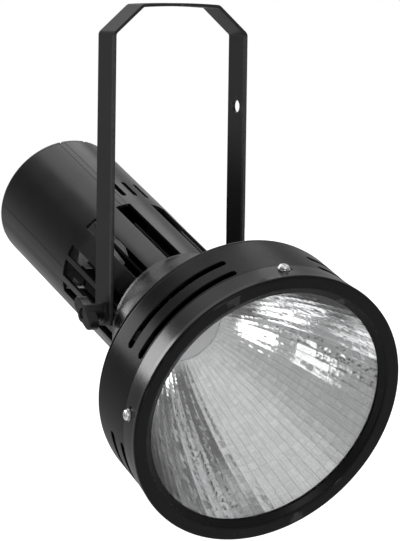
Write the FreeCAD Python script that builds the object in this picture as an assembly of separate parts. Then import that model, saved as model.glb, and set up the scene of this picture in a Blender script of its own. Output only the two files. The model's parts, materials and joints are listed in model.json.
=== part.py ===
import FreeCAD, Part
import math
import os

# ---------------------------------------------------------------------------
# LED par can with a flat-bar yoke.
# Frame: +Z up, -Y is the beam side, X runs along the tilt axis.
# Origin: centre of the hanging hole, on the top face of the yoke's top bar.
# The head is built along -Y about its pivot, then tilted and lowered.
# Axial stations are measured from the tilt axis, positive towards the beam.
# Angles round the head: 0 on top, 90 on the -X side.
# ---------------------------------------------------------------------------
TILT_DEG = 22.9            # beam below the horizontal in the rest position
PIVOT_DROP = 288.0         # tilt axis below the top face of the yoke

# yoke, bent from 30 x 3 flat bar
BAR_W = 30.0
BAR_T = 3.0
YOKE_W = 144.0             # outside to outside of the arms
YOKE_TOP_HALF = 41.3       # half length of the top bar between the bends
YOKE_BEND_Z = -27.8        # where the arms start to lean in
YOKE_BOW = 1.3             # slight arch of the top bar
ARM_END = 12.0             # arm length past the tilt axis
HANG_HOLE_R = 6.0
SIDE_HOLE_Z = -96.4
PIVOT_HOLE_R = 4.3

# body tube
TUBE_R = 65.0
TUBE_T = 3.0
TUBE_S0, TUBE_S1 = -235.0, 24.0
WIN_S0, WIN_S1 = -97.5, 15.0
WINDOWS = [(7.5, 20.5), (39.2, 51.5), (70.0, 80.0), (84.0, 99.0), (105.0, 115.0),
           (-28.0, -13.0), (-56.5, -44.0), (-81.0, -72.0), (-99.0, -83.5), (-115.0, -105.0),
           (141.0, 154.0), (173.5, 186.5), (206.0, 219.0)]
SLOT_S0, SLOT_S1, SLOT_W = -144.0, -114.0, 5.0
SLOTS = [16.4, 4.7, -6.3, -18.5]
GROOVES = [10.0, 15.3, -9.5, -15.5, 92.0, 106.5, 110.0, -92.0, -106.5, -110.0]

# front drum and shroud
DRUM_R0, DRUM_R1 = 130.0, 131.8
DRUM_S0, SEAM_S = 116.0, 167.2
DRUM_T = 1.6
DSLOT_W = 7.6
DSLOT_S = (140.6, 161.4)
DSLOT_SPAN = 52.0
DSLOT_CENTRES = [46.5, 136.5, 226.5, 316.5]
FRONT_S = 196.0
OPEN_R = 115.8
SCREW_S = 177.5
SCREW_PHI = [3.5, 93.5, 183.5, 273.5]

# knobs
KNOB_SPAN = 39.0
KNOB_ANGLE = 41.0          # wing direction above +Y
STUD_R = 4.0

V = FreeCAD.Vector
X, Y, Z = V(1, 0, 0), V(0, 1, 0), V(0, 0, 1)
O = V(0, 0, 0)
os.makedirs("parts", exist_ok=True)


def revolve(pts):
    """Solid of revolution about the head axis from (station, radius) points."""
    w = Part.makePolygon([V(r, -s, 0) for s, r in pts] + [V(pts[0][1], -pts[0][0], 0)])
    return Part.Face(w).revolve(O, Y, 360)


def revolve_curve(outer, inner, lead=(), tail=()):
    """Solid of revolution between two smooth curves given as (station, radius)."""
    def pv(p):
        return V(p[1], -p[0], 0)

    def spl(p):
        c = Part.BSplineCurve()
        c.interpolate([pv(q) for q in p])
        return c.toShape()
    edges = [spl(outer)]
    chain = [outer[-1]] + list(tail) + [inner[-1]]
    edges += [Part.makeLine(pv(a), pv(b)) for a, b in zip(chain, chain[1:])]
    edges.append(spl(inner))
    chain = [inner[0]] + list(lead) + [outer[0]]
    edges += [Part.makeLine(pv(a), pv(b)) for a, b in zip(chain, chain[1:])]
    w = Part.Wire(Part.__sortEdges__(edges))
    s = Part.Face(w).revolve(O, Y, 360)
    return s


def ring(s0, s1, r1, r0=0.0):
    c = Part.makeCylinder(r1, s1 - s0, V(0, -s0, 0), V(0, -1, 0))
    if r0 > 0:
        c = c.cut(Part.makeCylinder(r0, s1 - s0 + 2, V(0, -s0 + 1, 0), V(0, -1, 0)))
    return c


def radial(phi):
    a = math.radians(phi)
    return V(-math.sin(a), 0, math.cos(a))


def tangent(phi):
    a = math.radians(phi)
    return V(-math.cos(a), 0, -math.sin(a))


def at(phi, r, s):
    v = radial(phi) * r
    return V(v.x, -s, v.z)


def sector(s0, s1, r0, r1, p0, p1):
    """Annular sector between two angles."""
    a = Part.makeCylinder(r1, s1 - s0, V(0, -s0, 0), V(0, -1, 0))
    b = Part.makeCylinder(r0, s1 - s0 + 2, V(0, -s0 + 1, 0), V(0, -1, 0))
    pts = [V(0, -s0 + 1, 0)]
    n = max(2, int(abs(p1 - p0) / 30) + 2)
    for i in range(n):
        p = p0 + (p1 - p0) * i / (n - 1)
        q = radial(p) * (r1 * 1.6)
        pts.append(V(q.x, -s0 + 1, q.z))
    f = Part.Face(Part.makePolygon(pts + [pts[0]]))
    w = f.extrude(V(0, -(s1 - s0 + 2), 0))
    return a.cut(b).common(w)


def bar_at(phi, r0, r1, s0, s1, w, round_ends=False):
    """Radial block centred on an angle, tangential width w."""
    t, n = tangent(phi), radial(phi)
    p = [at(phi, r0, s0) - t * (w / 2), at(phi, r0, s1) - t * (w / 2),
         at(phi, r0, s1) + t * (w / 2), at(phi, r0, s0) + t * (w / 2)]
    b = Part.Face(Part.makePolygon(p + [p[0]])).extrude(n * (r1 - r0))
    if round_ends:
        b = b.fuse(Part.makeCylinder(w / 2, r1 - r0, at(phi, r0, s0), n))
        b = b.fuse(Part.makeCylinder(w / 2, r1 - r0, at(phi, r0, s1), n))
    return b


def one(shape):
    shape = shape.removeSplitter()
    return shape.Solids[0] if len(shape.Solids) == 1 else shape


def cyl(p, axis, r, h):
    return Part.makeCylinder(r, h, p, axis)


def hexa(p, axis, ref, af, h):
    """Hexagonal prism, flats af apart."""
    u = ref
    v = axis.cross(ref)
    r = af / math.sqrt(3)
    pts = [p + u * (r * math.cos(math.radians(60 * i))) + v * (r * math.sin(math.radians(60 * i))) for i in range(6)]
    return Part.Face(Part.makePolygon(pts + [pts[0]])).extrude(axis * h)


def pan_screw(p, n, ref, head_r, head_h, shank_r, shank_l, drive=True):
    """Pan-head screw, p under the head, n pointing out of the head."""
    head = cyl(p, n, head_r, head_h)
    try:
        top = [e for e in head.Edges if abs((e.CenterOfMass - (p + n * head_h)).dot(n)) < 1e-6 and e.Curve.TypeId.endswith("Circle")]
        head = head.makeFillet(head_h * 0.6, top)
    except Exception:
        pass
    if drive:
        t = n.cross(ref)
        for a, b in ((ref, t), (t, ref)):
            L, W = head_r * 1.15, head_r * 0.26
            q = [p + n * (head_h * 0.45) + a * (L / 2 * i) + b * (W / 2 * j) for i, j in ((-1, -1), (1, -1), (1, 1), (-1, 1))]
            head = head.cut(Part.Face(Part.makePolygon(q + [q[0]])).extrude(n * head_h))
    return one(head.fuse(cyl(p + n * 0.2, n * -1, shank_r, shank_l + 0.2)))


def tooth_washer(p, n, ref, r1, r0, t, teeth):
    """Externally toothed washer."""
    v = n.cross(ref)
    pts = []
    for i in range(teeth * 2):
        for k, rr in ((-0.22, r1 if i % 2 == 0 else r1 * 0.86), (0.22, r1 if i % 2 == 0 else r1 * 0.86)):
            a = math.radians((i + k) * 180.0 / teeth)
            pts.append(p + ref * (rr * math.cos(a)) + v * (rr * math.sin(a)))
    s = Part.Face(Part.makePolygon(pts + [pts[0]])).extrude(n * t)
    return one(s.cut(cyl(p - n, n, r0, t + 2)))


PIV = V(0, 0, -PIVOT_DROP)


def place_head(shape):
    shape = shape.copy()
    shape.rotate(O, X, TILT_DEG)
    shape.translate(PIV)
    return shape


def export(name, shape):
    shape.exportStep("parts/%s.step" % name)


def head(name, solids):
    if not isinstance(solids, (list, tuple)):
        solids = [solids]
    out = [place_head(s) for s in solids]
    export(name, out[0] if len(out) == 1 else Part.makeCompound(out))


# ---------------------------------------------------------------- yoke ------
def yoke():
    h = YOKE_W / 2
    zb = -PIVOT_DROP - ARM_END
    c = YOKE_TOP_HALF
    lean = math.atan2(h - c, -YOKE_BEND_Z - YOKE_BOW)
    # inner outline: each straight run moved in by the bar thickness
    t = BAR_T
    k1 = t * math.tan(lean / 2)
    a2 = math.pi / 2 - lean
    k2 = t * math.tan(a2 / 2)
    out = [V(-h, 0, zb), V(-h, 0, YOKE_BEND_Z), V(-c, 0, -YOKE_BOW)]
    inn = [V(-h + t, 0, zb), V(-h + t, 0, YOKE_BEND_Z - k1), V(-c + k2, 0, -YOKE_BOW - t)]

    def mir(p):
        return V(-p.x, 0, p.z)
    e = [Part.makeLine(out[0], out[1]), Part.makeLine(out[1], out[2]),
         Part.Arc(out[2], V(0, 0, 0), mir(out[2])).toShape(),
         Part.makeLine(mir(out[2]), mir(out[1])), Part.makeLine(mir(out[1]), mir(out[0])),
         Part.makeLine(mir(out[0]), mir(inn[0])), Part.makeLine(mir(inn[0]), mir(inn[1])),
         Part.makeLine(mir(inn[1]), mir(inn[2])),
         Part.Arc(mir(inn[2]), V(0, 0, -t), inn[2]).toShape(),
         Part.makeLine(inn[2], inn[1]), Part.makeLine(inn[1], inn[0]), Part.makeLine(inn[0], out[0])]
    f = Part.Face(Part.Wire(e))
    s = f.extrude(V(0, BAR_W, 0))
    s.translate(V(0, -BAR_W / 2, 0))

    def near(p, tol=0.6):
        return [e for e in s.Edges if abs(e.CenterOfMass.x - p.x) < tol and abs(e.CenterOfMass.z - p.z) < tol
                and abs(e.CenterOfMass.y) < 0.1 and e.Length > BAR_W - 0.1]
    outer, inner = [], []
    for p in (out[1], out[2], mir(out[1]), mir(out[2])):
        outer += near(p)
    for p in (inn[1], inn[2], mir(inn[1]), mir(inn[2])):
        inner += near(p)
    s = s.makeFillet(6.0, outer)
    inner2 = []
    for p in (inn[1], inn[2], mir(inn[1]), mir(inn[2])):
        inner2 += [e for e in s.Edges if abs(e.CenterOfMass.x - p.x) < 0.6 and abs(e.CenterOfMass.z - p.z) < 0.6
                   and abs(e.CenterOfMass.y) < 0.1 and e.Length > BAR_W - 0.1]
    s = s.makeFillet(3.0, inner2)
    # rounded lower corners
    low = [e for e in s.Edges if abs(e.CenterOfMass.z - zb) < 0.1 and abs(abs(e.CenterOfMass.y) - BAR_W / 2) < 0.1
           and e.Length < BAR_T + 0.1]
    s = s.makeFillet(6.0, low)
    s = s.cut(cyl(V(0, 0, -10), Z, HANG_HOLE_R, 20))
    s = s.cut(cyl(V(h - 10, 0, SIDE_HOLE_Z), X, HANG_HOLE_R, 20))
    for sx in (-1, 1):
        s = s.cut(cyl(V(sx * (h - 10), 0, -PIVOT_DROP), X * sx, PIVOT_HOLE_R, 20))
    return s


export("yoke_bracket", yoke())

# ------------------------------------------------------------ body tube -----
tube = ring(TUBE_S0, TUBE_S1, TUBE_R, TUBE_R - TUBE_T)
for a, b in WINDOWS:
    tube = tube.cut(sector(WIN_S0, WIN_S1, TUBE_R - TUBE_T - 1, TUBE_R + 2, a, b))
for p in SLOTS:
    tube = tube.cut(bar_at(p, TUBE_R - TUBE_T - 2, TUBE_R + 2, SLOT_S0 + SLOT_W / 2, SLOT_S1 - SLOT_W / 2, SLOT_W, True))
for p in GROOVES:
    tube = tube.cut(bar_at(p, TUBE_R - 0.45, TUBE_R + 2, TUBE_S0 - 1, WIN_S0 + 0.0, 0.8))
head("body_tube", one(tube))

# rear cover with a spigot, two small alignment notches in its rim
cover = revolve([(-238.6, 0), (-238.6, 63.6), (-237.8, 64.9), (-235.1, 64.9), (-235.1, 61.6), (-225.0, 61.6),
                 (-225.0, 59.2), (-235.6, 59.2), (-235.6, 0)])
for p in (12.7, -10.5, 180):
    cover = cover.cut(bar_at(p, 63.3, 67, -240, -235.0, 2.2))
GL = V(0, 238.6, -24.0)     # gland centre on the rear face
COVER_SCREWS = [45, 135, 225, 315]
for p in COVER_SCREWS:
    cover = cover.cut(cyl(at(p, 54, -240), V(0, -1, 0), 2.2, 12))
cover = cover.cut(cyl(V(GL.x, 242, GL.z), V(0, -1, 0), 8.1, 12))
head("rear_cover", one(cover))

# four bosses on a ring behind the cover take its screws
boss = []
for p in COVER_SCREWS:
    b = cyl(at(p, 54, -235.4), V(0, -1, 0), 4.6, 12).cut(cyl(at(p, 54, -236), V(0, -1, 0), 1.75, 12))
    boss.append(one(b.common(ring(-235.4, -220, 59.0))))
br = ring(-223.4, -221.4, 61.7, 46.0)
for p in COVER_SCREWS:
    br = br.fuse(cyl(at(p, 54, -235.4), V(0, -1, 0), 4.6, 14).common(ring(-236, -221.4, 59.0)))
for p in COVER_SCREWS:
    br = br.cut(cyl(at(p, 54, -236), V(0, -1, 0), 2.04, 16))
head("rear_screw_ring", one(br))
head("rear_cover_screws", [pan_screw(at(p, 54, -238.62), V(0, 1, 0), X, 3.8, 2.4, 2.0, 13) for p in COVER_SCREWS])

# cable gland: body, lock nut inside, dome nut outside (the lead itself is not part of the object)
gb = cyl(V(GL.x, 238.7, GL.z), Y, 11.0, 3.5).fuse(hexa(V(GL.x, 238.7, GL.z), Y, X, 20.0, 6.0)).fuse(cyl(V(GL.x, 226.5, GL.z), Y, 8.0, 13.0)).fuse(cyl(V(GL.x, 244, GL.z), Y, 7.6, 9.0))
gb = gb.cut(cyl(V(GL.x, 220, GL.z), Y, 5.4, 40))
head("cable_gland_body", one(gb))
dn = cyl(V(GL.x, 244.9, GL.z), Y, 9.3, 11.1)
dn = dn.makeFillet(2.4, [e for e in dn.Edges if abs(e.CenterOfMass.y - 256.0) < 0.05 and e.Length > 40])
gn = hexa(V(GL.x, 244.9, GL.z), Y, X, 19.0, 5.6).fuse(dn)
gn = gn.cut(cyl(V(GL.x, 244, GL.z), Y, 7.65, 9.1)).cut(cyl(V(GL.x, 240, GL.z), Y, 4.5, 30))
head("cable_gland_dome_nut", one(gn))
gl = hexa(V(GL.x, 229.6, GL.z), Y, X, 21.0, 4.0).cut(cyl(V(GL.x, 220, GL.z), Y, 8.05, 30))
head("cable_gland_lock_nut", one(gl))

# ------------------------------------------------------------- driver -------
tray = Part.makeBox(100, 103, 2, V(-50, 118, -36)).fuse(Part.makeBox(56, 2, 22, V(-28, 219, -36)))
tray = tray.fuse(Part.makeBox(56, 2, 22, V(-28, 118, -36)))
drv = Part.makeBox(70, 92, 46, V(-35, 124, -33.8))
drv = drv.makeFillet(3.0, [e for e in drv.Edges if abs(e.tangentAt(e.FirstParameter).dot(Y)) > 0.99])
head("led_driver", one(drv))
for sx in (-1, 1):
    for yy in (132, 208):
        tray = tray.cut(cyl(V(sx * 42, yy, -40), Z, 2.0, 10))
head("driver_tray", one(tray))
clamps2, lugs = [], []
for sx in (-1, 1):
    for yy in (132, 208):
        b = Part.makeBox(12.0, 10, 1.4, V(35.1, yy - 5, -34.0) if sx > 0 else V(-47.1, yy - 5, -34.0))
        b = b.cut(cyl(V(sx * 42, yy, -40), Z, 2.0, 10))
        clamps2.append(one(b))
        lugs.append(pan_screw(V(sx * 42, yy, -32.55), Z, X, 3.5, 2.2, 1.95, 6.5, False))
head("driver_clips", clamps2)
head("driver_screws", lugs)

# ------------------------------------------------------------ heatsink ------
hs = ring(-72, 12.5, 20.0)
hs = hs.fuse(ring(12.0, 22.0, 60.0))
for k in range(24):
    p = 44 + 15 * k
    d90 = min(abs((p - 90 + 180) % 360 - 180), abs((p + 90 + 180) % 360 - 180))
    if d90 < 10:
        continue
    hs = hs.fuse(bar_at(p, 18.5, 58.0, -72, 13, 2.2))
HS_SCREWS = [40, 140, 220, 320]
for p in HS_SCREWS:
    hs = hs.cut(cyl(at(p, 51, 10), V(0, -1, 0), 2.02, 14))
for sx in (-1, 1):
    hs = hs.cut(cyl(V(sx * 10, 60, 0), X * sx, 2.5, 14))
for p in (0, 180):
    hs = hs.cut(cyl(at(p, 33.5, 14), V(0, -1, 0), 1.27, 10))
head("heatsink", one(hs))

# side rails that carry the tilt pivots
for nm, sx in (("left", -1), ("right", 1)):
    rail = Part.makeBox(8.0, 94.6, 13.0, V(53.5, -11.8, -6.5)).fuse(Part.makeBox(33.5, 94.6, 6.0, V(20.3, -11.8, -3.0)))
    ed = [e for e in rail.Edges if abs(e.CenterOfMass.x - 61.5) < 0.05 and abs(e.CenterOfMass.z) > 6 and e.Length > 90]
    rail = rail.makeFillet(4.5, ed)
    rail = rail.fuse(cyl(V(40.0, 0, 0), X, 6.5, 16))
    rail = rail.cut(cyl(V(43.0, 0, 0), X, 4.05, 30))
    for yy in (60, ):
        rail = rail.cut(cyl(V(18, yy, 0), X, 2.05, 60)).cut(cyl(V(30, yy, 0), X, 2.7, 40))
    if sx < 0:
        rail = rail.mirror(O, X)
    head("%s_side_rail" % nm, one(rail))
head("side_rail_screws", [cyl(V(sx * 12.0, 60, 0), X * sx, 1.95, 18.0).fuse(cyl(V(sx * 30.0, 60, 0), X * sx, 2.6, 4.0)) for sx in (-1, 1)])

# ------------------------------------------------------------- emitter ------
pad = Part.makeBox(50, 0.5, 50, V(-25, -22.5, -25))
head("thermal_pad", pad)
brd = Part.makeBox(48, 1.8, 48, V(-24, -24.3, -24))
head("led_board", brd)
head("led_emitter", ring(24.3, 25.3, 17.0))
hold = ring(22.1, 30.2, 41.6, 37.4).fuse(ring(25.6, 27.2, 38, 20.0))
hold = hold.cut(Part.makeBox(50.6, 3.2, 50.6, V(-25.3, -25.2, -25.3)))
for p in (0, 180):
    hold = hold.cut(cyl(at(p, 33.5, 14), V(0, -1, 0), 1.4, 20)).cut(cyl(at(p, 33.5, 26.2), V(0, -1, 0), 2.5, 4))
hold = one(hold)
head("led_holder", hold)
head("led_diffuser", ring(27.4, 29.4, 37.1))
head("led_holder_screws", [pan_screw(at(p, 33.5, 26.25), V(0, -1, 0), X, 2.4, 1.0, 1.22, 7.0) for p in (0, 180)])

# ------------------------------------------------------------ reflector -----
R0, R1, RS0, RS1 = 38.2, 118.4, 30.4, 184.0


def refl(s, off=0.0):
    return math.sqrt(R0 ** 2 + (R1 ** 2 - R0 ** 2) * (s - RS0) / (RS1 - RS0)) + off


st = [RS0 + (RS1 - RS0) * (i / 14.0) ** 1.35 for i in range(15)]
inner = [(s, refl(s)) for s in st]
outer = [(s, refl(s) + 1.1) for s in st]
refl_s = revolve_curve(outer, inner, lead=(), tail=((RS1, 121.4), (RS1 + 1.0, 121.4), (RS1 + 1.0, refl(RS1))))
head("reflector", refl_s)

# ------------------------------------------------------- shroud and drum ----
D_OUT = [(12.0, 66.4), (14.5, 67.5), (17.5, 68.5), (22.0, 70.6), (30.0, 74.4), (45.0, 81.2), (60.0, 88.6), (75.0, 97.2),
         (88.0, 106.2), (98.0, 114.4), (105.0, 121.2), (109.5, 126.6), (111.5, 129.2)]
D_IN = [(27.2, 71.5), (45.0, 79.5), (60.0, 86.8), (75.0, 95.4), (88.0, 104.3), (98.0, 112.4), (105.0, 119.2),
        (109.0, 123.9), (110.2, 125.6)]
dome = revolve_curve(D_OUT, D_IN,
                     lead=((26.4, 68.0), (26.4, 44.0), (24.4, 44.0), (24.4, 65.15), (12.0, 65.15)),
                     tail=((113.4, 129.2), (113.4, 128.1), (126.0, 128.1), (126.0, 126.7), (112.0, 126.7)))
DOME_SCREWS = HS_SCREWS
for p in DOME_SCREWS:
    dome = dome.cut(cyl(at(p, 51, 20), V(0, -1, 0), 2.3, 10))
head("rear_shroud", one(dome))
head("shroud_screws", [pan_screw(at(p, 51, 26.45), V(0, -1, 0), X, 3.8, 2.6, 1.98, 12) for p in DOME_SCREWS])


def dr(s):
    return DRUM_R0 + (DRUM_R1 - DRUM_R0) * (s - DRUM_S0) / (SEAM_S - DRUM_S0)


drum = revolve([(DRUM_S0 - 2.0, 128.35), (DRUM_S0 - 2.0, 129.0), (DRUM_S0 - 0.6, 129.9), (DRUM_S0 + 0.8, dr(DRUM_S0 + 0.8)),
                (SEAM_S, DRUM_R1), (SEAM_S, 130.2), (183.0, 131.4), (183.0, 129.9), (SEAM_S, 128.7),
                (160.0, dr(160) - DRUM_T), (130.0, dr(130) - DRUM_T), (126.0, 128.35)])
for s in DSLOT_S:
    for c in DSLOT_CENTRES:
        h = DSLOT_SPAN / 2 - math.degrees(DSLOT_W / 2 / 131.0)
        cutr = sector(s - DSLOT_W / 2, s + DSLOT_W / 2, 124, 136, c - h, c + h)
        for e in (-h, h):
            cutr = cutr.fuse(cyl(at(c + e, 124, s), radial(c + e), DSLOT_W / 2, 12))
        drum = drum.cut(cutr)
for p in SCREW_PHI:
    drum = drum.cut(cyl(at(p, 124, SCREW_S), radial(p), 3.2, 14))
RB_PHI = [67.0, 157.0, 247.0, 337.0]
head("drum_shell", one(drum))

bezel = revolve([(SEAM_S + 0.5, 130.8), (SEAM_S + 0.5, 132.1), (189.0, 134.3), (193.2, 135.1), (195.3, 134.9),
                 (196.0, 134.0), (196.2, 132.6), (196.2, 123.6), (195.6, 122.0), (194.6, 121.4), (191.6, 116.4),
                 (190.6, 115.8), (190.0, 116.0), (190.0, 117.0), (193.4, 122.8), (193.6, 131.6), (192.6, 132.6),
                 (189.0, 132.6), (183.4, 131.9)])
for p in SCREW_PHI:
    bezel = bezel.cut(cyl(at(p, 124, SCREW_S), radial(p), 2.9, 14))
    bezel = bezel.cut(cyl(at(p - 3.3, 124, SCREW_S + 0.6), radial(p - 3.3), 1.5, 14))
head("front_bezel", one(bezel))

# glass, its gasket and the ring that clamps it
head("front_glass", ring(186.2, 189.4, 119.6))
gk = revolve([(185.2, 117.6), (185.2, 121.8), (189.95, 121.8), (189.95, 117.4), (189.45, 117.4), (189.45, 119.8),
              (186.15, 119.8), (186.15, 117.6)])
head("glass_gasket", gk)
clips = []
for c in [48.5, 138.5, 228.5, 318.5]:
    seg = bar_at(c, 119.9, 128.7, 182.4, 183.8, 10.0).fuse(bar_at(c, 127.4, 128.7, 172.0, 183.8, 10.0))
    clips.append(one(seg))
head("glass_clips", clips)

# front screws with toothed washers, four round the seam
FS, FW = [], []
slope = math.atan((134.3 - 132.1) / (189.0 - SEAM_S - 0.5))
for p in SCREW_PHI:
    n = radial(p) * math.cos(slope) + V(0, 1, 0) * math.sin(slope)
    rs = 132.1 + (134.3 - 132.1) * (SCREW_S - SEAM_S - 0.5) / (189.0 - SEAM_S - 0.5)
    base = at(p, rs, SCREW_S) + n * 0.16
    t = tangent(p)
    FW.append(tooth_washer(base, n, t, 5.8, 2.65, 0.9, 10))
    FS.append(pan_screw(base + n * 0.95, n, t, 4.9, 3.2, 2.45, 8.5))
head("front_lock_washers", FW)
head("front_screws", FS)

# brackets spot-welded in the drum, lugs on the reflector, joined by screws and nuts behind the rear slots
RB, RL, RBS, RBN = [], [], [], []
RR = 122.8
for p in RB_PHI:
    b = bar_at(p, 127.5, 128.7, 137.2, 156.0, 10.0).fuse(bar_at(p, 117.5, 128.0, 137.2, 138.4, 10.0))
    RB.append(one(b.cut(cyl(at(p, RR, 130), V(0, -1, 0), 2.1, 14))))
    low = refl(137.0) + 1.2
    b = bar_at(p, low, 126.8, 135.9, 137.1, 10.0)
    RL.append(one(b.cut(cyl(at(p, RR, 130), V(0, -1, 0), 2.1, 14))))
    RBS.append(pan_screw(at(p, RR, 138.5), V(0, -1, 0), X, 3.6, 2.6, 1.95, 8.5))
    RBN.append(one(hexa(at(p, RR, 135.8), V(0, 1, 0), radial(p), 7.0, 3.2).cut(cyl(at(p, RR, 140), V(0, 1, 0), 1.98, 14))))
head("reflector_brackets", RB)
head("reflector_lugs", RL)
head("reflector_lug_screws", RBS)
head("reflector_lug_nuts", RBN)

# --------------------------------------------------------- tilt pivots ------
def knob_parts(sx):
    """Pieces for one side built on +X, mirrored for -X. Head-local, about the pivot."""
    d = math.radians(KNOB_ANGLE)
    u = V(0, math.cos(d), math.sin(d))      # wing direction
    v = V(0, -math.sin(d), math.cos(d))
    x0 = YOKE_W / 2
    # wing: two rounded lobes joined by a waist, hub behind
    L = KNOB_SPAN / 2 - 6.0
    wing = None
    for e in (-1, 1):
        c = u * (L * e)
        lobe = cyl(V(x0 + 12.6, c.y, c.z), X, 6.0, 9.6)
        wing = lobe if wing is None else wing.fuse(lobe)
        q = [c + v * 6.0, c - v * 6.0, v * -8.0, v * 8.0]
        q = [V(x0 + 12.6, a.y, a.z) for a in q]
        wing = wing.fuse(Part.Face(Part.makePolygon(q + [q[0]])).extrude(X * 9.6))
    wing = wing.fuse(cyl(V(x0 + 12.6, 0, 0), X, 9.0, 9.6)).removeSplitter()
    try:
        top = [e for e in wing.Edges if abs(e.CenterOfMass.x - (x0 + 22.2)) < 0.02]
        wing = wing.makeFillet(1.6, top)
    except Exception:
        pass
    hub = cyl(V(x0 + 4.2, 0, 0), X, 8.6, 9.0)
    body = wing.fuse(hub)
    body = body.cut(cyl(V(x0 + 18.4, 0, 0), X, 5.3, 6))
    body = body.cut(cyl(V(x0 - 1, 0, 0), X, 4.02, 17.5))
    cap = cyl(V(x0 + 18.5, 0, 0), X, 5.2, 2.3)
    try:
        cap = cap.makeFillet(0.8, [e for e in cap.Edges if abs(e.CenterOfMass.x - (x0 + 20.8)) < 0.02 and e.Length > 20])
    except Exception:
        pass
    stud = cyl(V(45.5, 0, 0), X, STUD_R, x0 + 16.2 - 45.5)
    stud = stud.makeChamfer(0.8, [e for e in stud.Edges if abs(e.CenterOfMass.x - 45.5) < 0.02 and e.Length > 20])
    clampw = cyl(V(x0 + 0.3, 0, 0), X, 9.6, 3.7).cut(cyl(V(x0, 0, 0), X, 4.08, 6))
    clampw = clampw.makeFillet(0.8, [e for e in clampw.Edges if abs(e.CenterOfMass.x - (x0 + 4.0)) < 0.02 and e.Length > 40])
    nut = hexa(V(61.6, 0, 0), X, Y, 11.0, 5.0).cut(cyl(V(60, 0, 0), X, 4.08, 8))
    tw = tooth_washer(V(66.8, 0, 0), X, Y, 8.6, 4.08, 1.7, 12)
    out = [one(body), one(cap), one(stud), one(clampw), one(nut), one(tw)]
    if sx < 0:
        out = [s.mirror(O, X) for s in out]
    return out


for nm, sx in (("left", -1), ("right", 1)):
    body, cap, stud, clampw, nut, tw = knob_parts(sx)
    for n2, s in (("wing_knob", body), ("knob_cap", cap), ("knob_stud", stud), ("clamp_washer", clampw),
                  ("pivot_nut", nut), ("toothed_washer", tw)):
        s = s.copy()
        s.translate(PIV)
        export("%s_%s" % (nm, n2), s)
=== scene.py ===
import json
import math
import random
import bpy
import bmesh
from mathutils import Matrix, Vector
from mathutils.geometry import delaunay_2d_cdt

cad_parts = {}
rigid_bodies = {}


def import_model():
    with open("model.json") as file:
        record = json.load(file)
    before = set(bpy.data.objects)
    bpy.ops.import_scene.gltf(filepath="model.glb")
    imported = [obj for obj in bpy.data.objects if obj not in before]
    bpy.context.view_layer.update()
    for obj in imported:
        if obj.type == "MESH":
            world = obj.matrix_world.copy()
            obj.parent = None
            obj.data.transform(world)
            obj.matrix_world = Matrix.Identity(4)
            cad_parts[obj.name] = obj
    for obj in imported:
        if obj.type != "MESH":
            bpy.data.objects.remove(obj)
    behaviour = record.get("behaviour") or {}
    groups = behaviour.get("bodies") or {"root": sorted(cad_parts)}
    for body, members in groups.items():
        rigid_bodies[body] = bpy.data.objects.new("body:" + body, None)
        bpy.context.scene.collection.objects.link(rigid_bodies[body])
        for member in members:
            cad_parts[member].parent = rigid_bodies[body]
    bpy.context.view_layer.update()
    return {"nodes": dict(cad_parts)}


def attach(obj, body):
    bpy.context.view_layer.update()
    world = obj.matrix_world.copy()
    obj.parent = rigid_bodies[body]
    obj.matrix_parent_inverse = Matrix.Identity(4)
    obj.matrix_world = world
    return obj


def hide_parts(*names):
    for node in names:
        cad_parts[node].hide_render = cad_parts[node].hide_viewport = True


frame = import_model()
NODES = frame["nodes"]

# ------------------------------------------------------------------ frames --
TILT = math.radians(22.9)
PIV = Vector((0.0, 0.0, -288.0))
ROT = Matrix.Rotation(TILT, 3, "X")
MM = 0.001


def hp(x, y, z):
    """Head-local millimetres to the row frame in metres."""
    return (ROT @ Vector((x, y, z)) + PIV) * MM


def hn(x, y, z):
    return ROT @ Vector((x, y, z))


def pol(phi, r, s):
    a = math.radians(phi)
    return hp(-r * math.sin(a), -s, r * math.cos(a))


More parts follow.
